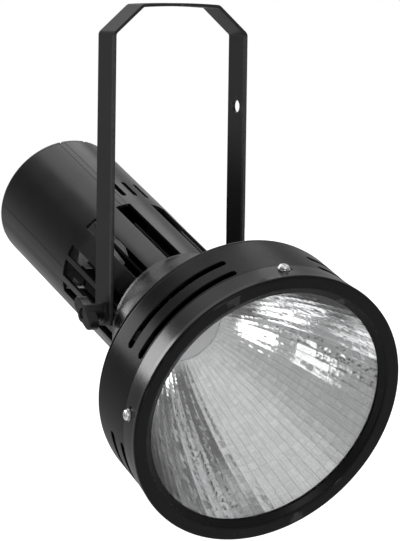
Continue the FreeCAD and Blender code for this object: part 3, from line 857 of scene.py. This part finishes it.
# --------------------------------------------------------------- the head --
def curve_points(pts, k=4):
    """Smooth curve through (s, r) points."""
    out = []
    n = len(pts)
    P = [Vector(p) for p in pts]
    P = [P[0] * 2 - P[1]] + P + [P[-1] * 2 - P[-2]]
    for i in range(1, n):
        p0, p1, p2, p3 = P[i - 1], P[i], P[i + 1], P[i + 2]
        t0 = 0.0
        t1 = t0 + math.sqrt((p1 - p0).length)
        t2 = t1 + math.sqrt((p2 - p1).length)
        t3 = t2 + math.sqrt((p3 - p2).length)
        for j in range(k):
            t = t1 + (t2 - t1) * j / k
            a1 = p0 * ((t1 - t) / (t1 - t0)) + p1 * ((t - t0) / (t1 - t0))
            a2 = p1 * ((t2 - t) / (t2 - t1)) + p2 * ((t - t1) / (t2 - t1))
            a3 = p2 * ((t3 - t) / (t3 - t2)) + p3 * ((t - t2) / (t3 - t2))
            b1 = a1 * ((t2 - t) / (t2 - t0)) + a2 * ((t - t0) / (t2 - t0))
            b2 = a2 * ((t3 - t) / (t3 - t1)) + a3 * ((t - t1) / (t3 - t1))
            c = b1 * ((t2 - t) / (t2 - t1)) + b2 * ((t - t1) / (t2 - t1))
            out.append((c[0], c[1]))
    out.append(tuple(pts[-1]))
    return out


NPHI = 240
PHIS = arange(170.0, 530.0, NPHI)

D_OUT = [(12.0, 66.4), (14.5, 67.5), (17.5, 68.5), (22.0, 70.6), (30.0, 74.4), (45.0, 81.2), (60.0, 88.6), (75.0, 97.2),
         (88.0, 106.2), (98.0, 114.4), (105.0, 121.2), (109.5, 126.6), (111.5, 129.2)]
D_IN = [(27.2, 71.5), (45.0, 79.5), (60.0, 86.8), (75.0, 95.4), (88.0, 104.3), (98.0, 112.4), (105.0, 119.2),
        (109.0, 123.9), (110.2, 125.6)]


def shroud_piece():
    o = [(s, r, 0.0) for s, r in curve_points(D_OUT, 4)]
    o[0] = (12.0, 66.4, 0.45)
    o[-1] = (111.5, 129.2, 0.7)
    i = [(s, r, 0.0) for s, r in reversed(curve_points(D_IN, 3))]
    prof = o + [(113.4, 129.2, 0.35), (113.4, 128.1, 0.2), (126.0, 128.1, 0.25), (126.0, 126.7, 0.25), (112.0, 126.7, 0.5)]
    prof += i + [(26.4, 68.0, 0.4), (26.4, 44.0, 0.3), (24.4, 44.0, 0.3), (24.4, 65.15, 0.3), (12.0, 65.15, 0.3)]
    mb = MB()
    lathe_into(mb, round_profile(prof, 3), PHIS)
    return mb.build("rear_shroud_spun", M["shroud"], "head", ("rear_shroud",))


shroud_piece()

DOUT = [(116.8, 130.028), (167.2, 131.8)]
DINN = [(126.0, 128.35), (130.0, 128.892), (160.0, 129.945), (167.2, 128.7)]
DSLOT_W = 7.6
DSLOT_S = (140.6, 161.4)
DSLOT_SPAN = 52.0
DSLOT_C = [46.5, 136.5, 226.5, 316.5]
SCREW_PHI = [3.5, 93.5, 183.5, 273.5]
SCREW_S = 177.5


def wrap(c):
    """Angle into the 170 to 530 range used by the pierced skins."""
    while c < 170.0:
        c += 360.0
    while c >= 530.0:
        c -= 360.0
    return c


def drum_piece():
    rx = 131.0 * math.pi / 180
    mb = MB()
    gx = [p * rx for p in PHIS]
    # slotted wall
    P, N, T, th = shell_funcs(DOUT, DINN, rx)
    holes = []
    for s in DSLOT_S:
        for c in DSLOT_C:
            holes.append(Hole(rrect(wrap(c) * rx, s, DSLOT_SPAN / 2 * rx, DSLOT_W / 2, DSLOT_W / 2, 1.6)))
    sheet_metal(mb, P, N, T, holes, 0.4, 0.15, rect=(gx[0], gx[-1]), gx=gx,
                gy=[117.6, 121, 126, 131, 135.4, 146.2, 151, 155.8, 166.5],
                inner_gy=[127.0, 130.0, 135.4, 146.2, 151, 155.8, 160.0, 166.5], thick=th)
    # spigot inside the front bezel
    so, si = [(167.2, 130.2), (183.0, 131.4)], [(167.2, 128.7), (183.0, 129.9)]
    P2, N2, T2, th2 = shell_funcs(so, si, rx)
    sh = [Hole(rrect(wrap(p) * rx, SCREW_S, 3.2, 3.2, 3.2, 1.0)) for p in SCREW_PHI]
    sheet_metal(mb, P2, N2, T2, sh, 0.1, 0.1, rect=(gx[0], gx[-1]), gx=gx, gy=[168.0, 173.0, 182.5], inner_gy=[168.0, 173.0, 182.5], thick=th2)
    r1 = interp(DOUT, 166.5)
    prof = [(166.5, r1, 0), (167.2, 131.8, 0.4), (167.2, 130.2, 0.15), (168.0, interp(so, 168.0), 0)]
    lathe_into(mb, open_profile(prof), PHIS, closed=False)
    prof = [(182.5, interp(so, 182.5), 0), (183.0, 131.4, 0.2), (183.0, 129.9, 0.2), (182.5, interp(si, 182.5), 0)]
    lathe_into(mb, open_profile(prof), PHIS, closed=False)
    prof = [(168.0, interp(si, 168.0), 0), (167.2, 128.7, 0.3), (166.5, interp(DINN, 166.5), 0)]
    lathe_into(mb, open_profile(prof), PHIS, closed=False)
    prof = [(127.0, interp(DINN, 127.0), 0), (126.0, 128.35, 0.6), (114.0, 128.35, 0.22), (114.0, 129.0, 0.3), (115.4, 129.9, 1.2),
            (116.8, 130.028, 1.2), (117.6, interp(DOUT, 117.6), 0)]
    lathe_into(mb, open_profile(prof), PHIS, closed=False)
    return mb.build("drum_shell_pressed", M["shell"], "head", ("drum_shell",))


def open_profile(pts, k=4):
    """Open (s, r, fillet) line, outside on its left, to points with normals; the ends keep their own edge's normal."""
    out = []
    n = len(pts)
    for i, (s, r, f) in enumerate(pts):
        p = Vector((s, r))
        u = (Vector(pts[i - 1][:2]) - p) if i else None
        v = (Vector(pts[i + 1][:2]) - p) if i < n - 1 else None
        nu = None if u is None else Vector((u.normalized().y, -u.normalized().x))
        nv = None if v is None else Vector((-v.normalized().y, v.normalized().x))
        if u is None:
            out.append((p, nv))
            continue
        if v is None:
            out.append((p, nu))
            continue
        lu, lv = u.length, v.length
        uu, vv = u / lu, v / lv
        ang = uu.angle(vv)
        if f <= 0 or ang > math.radians(178.5):
            out.append((p, (nu * lu + nv * lv).normalized()))
            continue
        d = min(f / math.tan(ang / 2), 0.48 * lu, 0.48 * lv)
        rad = d * math.tan(ang / 2)
        c = p + (uu + vv).normalized() * (rad / math.sin(ang / 2))
        q0, q1 = p + uu * d, p + vv * d
        for j in range(k + 1):
            t = j / k
            w = (q0 - c).normalized().slerp((q1 - c).normalized(), t)
            out.append((c + w * rad, nu.slerp(nv, t)))
    return out


drum_piece()

BOUT = [(167.7, 132.1), (189.0, 134.3)]
BINN = [(167.7, 130.8), (183.4, 131.9), (189.0, 132.6)]


def bezel_piece():
    rx = 133.0 * math.pi / 180
    mb = MB()
    gx = [p * rx for p in PHIS]
    P, N, T, th = shell_funcs(BOUT, BINN, rx)
    holes = []
    for p in SCREW_PHI:
        holes.append(Hole(rrect(wrap(p) * rx, SCREW_S, 2.9, 2.9, 2.9, 1.0)))
        holes.append(Hole(rrect(wrap(p - 3.3) * rx, SCREW_S + 0.6, 1.5, 1.5, 1.5, 1.0)))
    sheet_metal(mb, P, N, T, holes, 0.22, 0.1, rect=(gx[0], gx[-1]), gx=gx, gy=[168.4, 171.5, 174.0, 181.5, 185.0, 188.4],
                inner_gy=[168.4, 171.5, 174.0, 181.5, 183.0], thick=th)
    prof = [(188.4, interp(BOUT, 188.4), 0), (189.0, 134.3, 0), (193.2, 135.1, 3.0), (195.3, 134.9, 1.2), (196.0, 134.0, 0.8), (196.2, 132.6, 0.8),
            (196.2, 123.6, 0.7), (195.6, 122.0, 0.6), (194.6, 121.4, 0.8), (191.6, 116.4, 0.6), (190.6, 115.8, 0.4), (190.0, 116.0, 0.25),
            (190.0, 117.0, 0.2), (193.4, 122.8, 0.6), (193.6, 131.6, 0.6), (192.6, 132.6, 0.6), (189.0, 132.6, 0), (183.4, 131.9, 0),
            (183.0, interp(BINN, 183.0), 0)]
    lathe_into(mb, open_profile(prof), PHIS, closed=False)
    prof = [(168.4, interp(BINN, 168.4), 0), (167.7, 130.8, 0.2), (167.7, 132.1, 0.4), (168.4, interp(BOUT, 168.4), 0)]
    lathe_into(mb, open_profile(prof), PHIS, closed=False)
    return mb.build("front_bezel_turned", M["bezel"], "head", ("front_bezel",))


bezel_piece()

WIN_S0, WIN_S1 = -97.5, 15.0
WINDOWS = [(7.5, 20.5), (39.2, 51.5), (70.0, 80.0), (84.0, 99.0), (105.0, 115.0),
           (-28.0, -13.0), (-56.5, -44.0), (-81.0, -72.0), (-99.0, -83.5), (-115.0, -105.0),
           (141.0, 154.0), (173.5, 186.5), (206.0, 219.0)]
SLOTS = [16.4, 4.7, -6.3, -18.5]
GROOVES = [10.0, 15.3, -9.5, -15.5, 92.0, 106.5, 110.0, -92.0, -106.5, -110.0]


def tube_piece():
    RT = 65.0
    rx = RT * math.pi / 180
    gv = [wrap(p) * rx for p in GROOVES]

    def dg(x):
        return min((abs(x - g), x - g) for g in gv)

    def rad(ph, s):
        if s > -97.45:
            return RT
        d = dg(ph * rx)[0]
        if d >= 0.62:
            return RT
        if d <= 0.22:
            return RT - 0.45
        return RT - 0.45 * (0.62 - d) / 0.40
    inner = [(-235.0, 62.0), (24.0, 62.0)]
    P, N0, T, th = shell_funcs(None, inner, rx, radius=rad, slopes=lambda s: 0.0)

    def N(x, y):
        n = N0(x, y)
        if y > -97.45:
            return n
        d, sd = dg(x)
        if d >= 0.62 or d <= 0.2:
            return n
        t = 1 - abs(d - 0.42) / 0.20
        tx = T(x, y)[0]
        # the wall faces the groove's middle
        k = -1.0 if sd > 0 else 1.0
        a = math.radians(48) * max(t, 0)
        return (n * math.cos(a) + tx * (k * math.sin(a))).normalized()
    holes = []
    for a, b in WINDOWS:
        c = wrap((a + b) / 2)
        holes.append(Hole(rrect(c * rx, (WIN_S0 + WIN_S1) / 2, (b - a) / 2 * rx, (WIN_S1 - WIN_S0) / 2, 0.5, 0.3, 9.0)))
    for p in SLOTS:
        holes.append(Hole(rrect(wrap(p) * rx, -129.0, 2.5, 15.0, 2.5, 0.6, 3.0)))
    phis = arange(165.0, 525.0, 180)
    gx = [p * rx for p in phis]
    gx0, gx1 = gx[0], gx[-1]
    gv2 = [g if g >= gx0 else g + 360 * rx for g in gv]
    ys = [-234.6, -220.0, -200.0, -180.0, -160.0, -146.0, -112.0, -100.0, -97.6, -97.4, 15.8, 23.6]
    segs = []
    for g in gv2:
        for dx in (-0.62, -0.42, -0.22, 0.22, 0.42, 0.62):
            line = [(g + dx, y) for y in ys if y <= -97.3]
            # leave out what falls inside a hole
            cur = []
            fine = []
            for (xa, ya), (xb, yb) in zip(line, line[1:]):
                m = max(1, int((yb - ya) / 1.0))
                fine += [(xa, ya + (yb - ya) * i / m) for i in range(m)]
            fine.append(line[-1])
            for pt in fine:
                if any(h.has(pt[0], pt[1], 0.5) for h in holes):
                    if len(cur) > 1:
                        segs.append([cur[0]] + [c for c in cur[1:-1] if min(abs(c[1] - y) for y in ys) < 1e-6] + [cur[-1]])
                    cur = []
                else:
                    cur.append(pt)
            if len(cur) > 1:
                segs.append([cur[0]] + [c for c in cur[1:-1] if min(abs(c[1] - y) for y in ys) < 1e-6] + [cur[-1]])
    mb = MB()
    # columns that crowd a groove line are dropped
    keepx = [x for x in gx if all(abs(x - g) > 0.9 for g in gv2)]
    keepx = sorted(set([gx0, gx1] + keepx))
    sheet_metal(mb, P, N, T, [fix(h, gx0, 360 * rx) for h in holes], 0.28, 0.12, rect=(gx0, gx1), gx=keepx, gy=ys, segs=segs,
                inner_gy=[-234.6, -200.0, -146.0, -112.0, -99.0, 16.5, 23.6], thick=th)
    ph2 = [x / rx for x in sorted(keepx + [g + dx for g in gv2 for dx in (-0.62, -0.42, -0.22, 0.22, 0.42, 0.62)])]
    # rear end ring follows the grooves, front end ring is plain
    end_ring(mb, P, N, [p * rx for p in ph2], -234.6, -235.0, 0.4, 62.0)
    end_ring(mb, P, N, keepx, 23.6, 24.0, 0.4, 62.0)
    return mb.build("body_tube_extruded", M["tube"], "head", ("body_tube",))


def fix(h, lo, period):
    if h.box[0] < lo:
        return Hole([(x + period, y, a, b) for x, y, a, b in h.pts])
    return h


def end_ring(mb, P, N, xs, y_in, y_end, b, r_in):
    """Closes the end of the tube: rounded outer edge, flat end, rounded inner edge."""
    d = 1.0 if y_end > y_in else -1.0
    k = 3

    def row(x):
        out = []
        n = N(x, y_in)
        ax = hn(0, -d, 0)
        for i in range(k + 1):
            a = math.pi / 2 * i / k
            y = y_in + d * b * math.sin(a)
            out.append((P(x, y, b * (1 - math.cos(a))), n * math.cos(a) + ax * math.sin(a)))
        # depth to the inner skin
        dd = depth_to(x, y_in)
        nn = N0_of(x)
        for i in range(k + 1):
            a = math.pi / 2 * (1 - i / k)
            y = y_in + d * b * math.sin(a)
            out.append((P(x, y, dd - b * (1 - math.cos(a))), -nn * math.cos(a) + ax * math.sin(a)))
        return out

    def depth_to(x, y):
        loc = ROT.transposed() @ ((P(x, y, 0.0) / MM) - PIV)
        return math.hypot(loc.x, loc.z) - r_in

    def N0_of(x):
        a = math.radians(x / (65.0 * math.pi / 180))
        return hn(-math.sin(a), 0, math.cos(a))
    rows = [row(x) for x in xs]
    for r0, r1 in zip(rows, rows[1:]):
        for i in range(len(r0) - 1):
            q = (r0[i], r1[i], r1[i + 1], r0[i + 1])
            mb.face([t[0] for t in q], [t[1] for t in q])


tube_piece()

# reflector: faceted bowl
R0, R1, RS0, RS1 = 38.2, 118.4, 30.4, 184.0
NF = 72


def refl(s):
    return math.sqrt(R0 ** 2 + (R1 ** 2 - R0 ** 2) * (s - RS0) / (RS1 - RS0))


def reflector_piece():
    mb = MB()
    rng = random.Random(7)
    kk = (R1 ** 2 - R0 ** 2) / (RS1 - RS0)
    st = [RS0]
    while st[-1] < RS1:
        r = refl(st[-1])
        st.append(st[-1] + r * math.radians(360.0 / NF) / math.sqrt(1 + (kk / (2 * r)) ** 2))
    k = (RS1 - RS0) / (st[-1] - RS0)
    st = [RS0 + (v - RS0) * k for v in st]
    NR = len(st) - 1
    sub_a, sub_s = 4, 4
    bulge = 0.022
    for i in range(NF):
        p0, p1 = 360.0 * i / NF, 360.0 * (i + 1) / NF
        for j in range(NR):
            c = [pol(p0, refl(st[j]), st[j]), pol(p1, refl(st[j]), st[j]), pol(p1, refl(st[j + 1]), st[j + 1]), pol(p0, refl(st[j + 1]), st[j + 1])]
            n = (c[2] - c[0]).cross(c[3] - c[1]).normalized()
            mid = (c[0] + c[1] + c[2] + c[3]) / 4
            axis_pt = hp(0, -(st[j] + st[j + 1]) / 2, 0)
            if n.dot(axis_pt - mid) < 0:
                n = -n
            ua = ((c[1] - c[0]) + (c[2] - c[3])) / 2
            us = ((c[3] - c[0]) + (c[2] - c[1])) / 2
            w, h = ua.length, us.length
            ua, us = ua.normalized(), us.normalized()
            bw = bulge * MM * w / (7.0 * MM) * rng.uniform(0.6, 1.4)
            bh = 0.014 * MM * w / (7.0 * MM) * rng.uniform(0.6, 1.4)
            ja, js = rng.gauss(0, 0.011), rng.gauss(0, 0.009)
            grid = []
            for b in range(sub_s + 1):
                row = []
                v = b / sub_s
                for a in range(sub_a + 1):
                    u = a / sub_a
                    p = (c[0] * (1 - u) + c[1] * u) * (1 - v) + (c[3] * (1 - u) + c[2] * u) * v
                    hu, hv = 4 * u * (1 - u), 4 * v * (1 - v)
                    p = p + n * (bw * hu + bh * hv)
                    nn = n + ua * ja + us * js - ua * (bw * 4 * (1 - 2 * u) / w) - us * (bh * 4 * (1 - 2 * v) / h)
                    row.append((p, nn.normalized()))
                grid.append(row)
            for b in range(sub_s):
                for a in range(sub_a):
                    q = (grid[b][a], grid[b][a + 1], grid[b + 1][a + 1], grid[b + 1][a])
                    mb.face([t[0] for t in q], [t[1] for t in q])
    # back of the bowl, foot edge and front flange
    ph = arange(0.0, 360.0, NF * 2)
    so = [RS0 + (RS1 - RS0) * (i / 28) ** 1.2 for i in range(29)]
    back = [(RS1, 121.4, 0.2)] + [(s, refl(s) + 1.1, 0) for s in reversed(so)]
    prof = [(RS1 - 0.0, R1, 0), (RS1 + 1.0, refl(RS1 + 1.0), 0.3), (RS1 + 1.0, 121.4, 0.2)] + back + [(RS0, R0, 0)]
    op = open_profile([(s, r, f) for s, r, f in prof])
    op = [(p, -n) for p, n in op]
    lathe_into(mb, op, ph, closed=False)
    o = mb.build("reflector_bowl", M["mirror"], "head", ("reflector",))
    # facet coordinates: whole numbers lie on the creases between facets
    me = o.data
    uv = me.uv_layers.new(name="facets").data
    inv = ROT.transposed()
    loc = [inv @ (v.co / MM - PIV) for v in me.vertices]
    for pl in me.polygons:
        c = inv @ (pl.center / MM - PIV)
        pc = math.degrees(math.atan2(-c.x, c.z))
        for li in pl.loop_indices:
            q = loc[me.loops[li].vertex_index]
            ph = math.degrees(math.atan2(-q.x, q.z))
            ph += 360.0 * round((pc - ph) / 360.0)
            sv = min(max(-q.y, st[0]), st[-1] - 1e-6)
            j = max(i for i in range(NR) if st[i] <= sv)
            uv[li].uv = (ph * NF / 360.0 + NF, j + (sv - st[j]) / (st[j + 1] - st[j]))
    return o


reflector_piece()

# ------------------------------------------------------ smaller hard parts --
for nm in ("left", "right"):
    refine(nm + "_wing_knob", M["plastic"], nm + "_knob", 0.45, 3, 30)
    refine(nm + "_knob_cap", M["plastic"], nm + "_knob", 0.0)
    refine(nm + "_knob_stud", M["zinc"], nm + "_knob", 0.0)
    refine(nm + "_clamp_washer", M["yoke"], nm + "_clamp", 0.0)
    refine(nm + "_pivot_nut", M["zinc"], "head", 0.3)
    refine(nm + "_toothed_washer", M["zinc"], "head", 0.12, 1)
    refine(nm + "_side_rail", M["tube"], "head", 0.4)
refine("heatsink", M["inner"], "head", 0.3)
refine("rear_cover", M["cover"], "head", 0.3)
refine("rear_cover_screws", M["zinc"], "head", 0.0)
refine("front_screws", M["zinc"], "head", 0.12, 2)
refine("front_lock_washers", M["zinc"], "head", 0.1, 1)
refine("cable_gland_body", M["plastic"], "head", 0.3)
refine("cable_gland_dome_nut", M["plastic"], "head", 0.25)
refine("cable_gland_lock_nut", M["plastic"], "head", 0.25)

PLAIN = {
    "driver_clips": "alu", "driver_screws": "zinc", "driver_tray": "alu", "front_glass": "glass", "glass_clips": "inner",
    "glass_gasket": "rubber", "led_board": "board", "led_diffuser": "frost", "led_driver": "case", "led_emitter": "phosphor",
    "led_holder": "case", "led_holder_screws": "zinc", "rear_screw_ring": "alu", "reflector_brackets": "inner",
    "reflector_lug_nuts": "zinc", "reflector_lug_screws": "zinc", "reflector_lugs": "inner", "shroud_screws": "zinc",
    "side_rail_screws": "zinc", "thermal_pad": "pad",
}
for node, key in PLAIN.items():
    me = NODES[node].data
    me.materials.clear()
    me.materials.append(M[key])

# -------------------------------------------------------- camera and light --
scene = bpy.context.scene
cam_data = bpy.data.cameras.new("camera")
cam = bpy.data.objects.new("camera", cam_data)
scene.collection.objects.link(cam)
right = Vector((0.86288006, -0.50521975, 0.01382059))
up = Vector((0.02384716, 0.06801374, 0.99739934))
back = Vector((-0.50484584, -0.86030642, 0.07073576))
cam.matrix_world = Matrix((
    (right.x, up.x, back.x, -1.716661),
    (right.y, up.y, back.y, -2.980151),
    (right.z, up.z, back.z, -0.006241),
    (0, 0, 0, 1)))
cam_data.sensor_width = 36.0
cam_data.lens = 3672.1 * 36.0 / 541.0
cam_data.clip_start = 0.05
cam_data.clip_end = 100.0
scene.camera = cam
scene.view_settings.view_transform = "Standard"
scene.view_settings.look = "None"

# Studio light as soft-edged patches of sky: azimuth from +Y towards +X, and elevation, in degrees.
BASE = [(-90.0, 0.84), (-40.0, 0.84), (-12.0, 0.60), (10.0, 0.52), (45.0, 0.48), (90.0, 0.45)]
PATCHES = [
    # name, az0, az1, el0, el1, soft az, soft el, radiance
    ("top_softbox", -25.0, 42.0, 32.0, 66.0, 2.0, 4.0, 2.0),
    ("backdrop", -34.0, 75.0, 4.0, 32.0, 3.5, 7.0, 0.48),
    ("backdrop_low", -8.0, 75.0, -30.0, 6.0, 16.0, 7.0, 0.45),
    ("left_wall_dark", -112.0, -38.0, -35.0, 40.0, 4.0, 8.0, 0.22),
    ("camera_side_dark", -164.0, -120.0, -26.0, -1.0, 6.0, 5.0, 0.13),
    ("key_softbox", -184.0, -162.0, -1.0, 15.0, 1.2, 1.2, 4.5),
    ("upper_fill", -188.0, -148.0, 23.0, 35.0, 2.0, 2.0, 1.9),
]


def studio():
    world = bpy.data.worlds.new("studio")
    bpy.context.scene.world = world
    world.use_nodes = True
    nt = world.node_tree
    nt.nodes.clear()

    def node(kind, **kw):
        n = nt.nodes.new("ShaderNode" + kind)
        for k, v in kw.items():
            setattr(n, k, v)
        return n

    def mth(op, a, b=0.0, c=None):
        n = node("Math", operation=op)
        for i, v in enumerate((a, b, c)):
            if v is None:
                continue
            if isinstance(v, (int, float)):
                n.inputs[i].default_value = v
            else:
                nt.links.new(v, n.inputs[i])
        return n.outputs[0]

    def step(v, lo, hi):
        n = node("MapRange", interpolation_type="SMOOTHSTEP")
        n.inputs["From Min"].default_value = lo
        n.inputs["From Max"].default_value = hi
        nt.links.new(v, n.inputs["Value"])
        return n.outputs[0]

    tc = node("TexCoord")
    sp = node("SeparateXYZ")
    nt.links.new(tc.outputs["Generated"], sp.inputs[0])
    deg = 180.0 / math.pi
    az = mth("MULTIPLY", mth("ARCTAN2", sp.outputs[0], sp.outputs[1]), deg)
    el = mth("MULTIPLY", mth("ARCSINE", sp.outputs[2]), deg)
    ramp = node("ValToRGB")
    r = ramp.color_ramp
    nt.links.new(mth("DIVIDE", mth("ADD", el, 90.0), 180.0), ramp.inputs[0])
    for i, (e, v) in enumerate(BASE):
        p = (e + 90.0) / 180.0
        if i == 0:
            k = r.elements[0]
        elif i == len(BASE) - 1:
            k = r.elements[-1]
        else:
            k = r.elements.new(p)
        k.position = p
        k.color = (v, v, v, 1)
    lum = node("RGBToBW")
    nt.links.new(ramp.outputs[0], lum.inputs[0])
    level = lum.outputs[0]
    for name, a0, a1, e0, e1, sa, se, rad in PATCHES:
        c = (a0 + a1) / 2
        d = mth("SUBTRACT", az, c)
        d = mth("ABSOLUTE", mth("WRAP", d, 180.0, -180.0))
        h = (a1 - a0) / 2
        wa = mth("SUBTRACT", 1.0, step(d, h - sa, h + sa))
        we = mth("MULTIPLY", step(el, e0 - se, e0 + se), mth("SUBTRACT", 1.0, step(el, e1 - se, e1 + se)))
        w = mth("MULTIPLY", wa, we)
        level = mth("ADD", mth("MULTIPLY", level, mth("SUBTRACT", 1.0, w)), mth("MULTIPLY", w, rad))
    env = node("Background")
    nt.links.new(level, env.inputs[1])
    env.inputs[0].default_value = (1, 1, 1, 1)
    plain = node("Background")
    plain.inputs[0].default_value = (1, 1, 1, 1)
    lp = node("LightPath")
    mx = node("MixShader")
    nt.links.new(lp.outputs["Is Camera Ray"], mx.inputs[0])
    nt.links.new(env.outputs[0], mx.inputs[1])
    nt.links.new(plain.outputs[0], mx.inputs[2])
    out = node("OutputWorld")
    nt.links.new(mx.outputs[0], out.inputs[0])


studio()


def strip_light(name, at, direction, dist, sx, sy, radiance, only):
    """A soft panel standing close to one spot of the lamp, facing it."""
    d = bpy.data.lights.new(name, "AREA")
    d.shape = "RECTANGLE"
    d.size, d.size_y = sx, sy
    d.energy = math.pi * sx * sy * radiance
    o = bpy.data.objects.new(name, d)
    bpy.context.scene.collection.objects.link(o)
    v = Vector(direction).normalized()
    o.location = at + v * dist
    o.rotation_mode = "QUATERNION"
    o.rotation_quaternion = v.to_track_quat("Z", "Y")
    lit = bpy.data.collections.new(name + "_lights")
    for n in only:
        lit.objects.link(bpy.data.objects[n])
    o.light_linking.receiver_collection = lit


strip_light("rear_left_strip", pol(68, 134, 178), (-0.48, 0.81, 0.34), 0.9, 0.36, 0.36, 15.0,
            ("front_bezel_turned", "front_screws_fine", "left_toothed_washer_fine", "left_pivot_nut_fine"))
strip_light("rear_left_fill", pol(64, 131, 145), (-0.48, 0.81, 0.34), 0.9, 0.34, 0.34, 7.0, ("drum_shell_pressed",))
strip_light("behind_dome", pol(65, 85, 35), (0.07, 0.98, 0.20), 0.8, 0.34, 0.34, 4.2, ("rear_shroud_spun",))

# plain pale floor, well below the hanging lamp
bpy.ops.mesh.primitive_plane_add(size=30.0, location=(0, 0, -1.25))
floor = bpy.context.object
floor.name = "floor"
fm = bpy.data.materials.new("floor_pale")
fm.use_nodes = True
fp = fm.node_tree.nodes["Principled BSDF"]
fp.inputs["Base Color"].default_value = (0.86, 0.86, 0.86, 1)
fp.inputs["Roughness"].default_value = 0.9
fp.inputs["Emission Color"].default_value = (1, 1, 1, 1)
fp.inputs["Emission Strength"].default_value = 0.75
floor.data.materials.append(fm)
floor.visible_glossy = False
floor.visible_diffuse = False
floor.visible_transmission = False
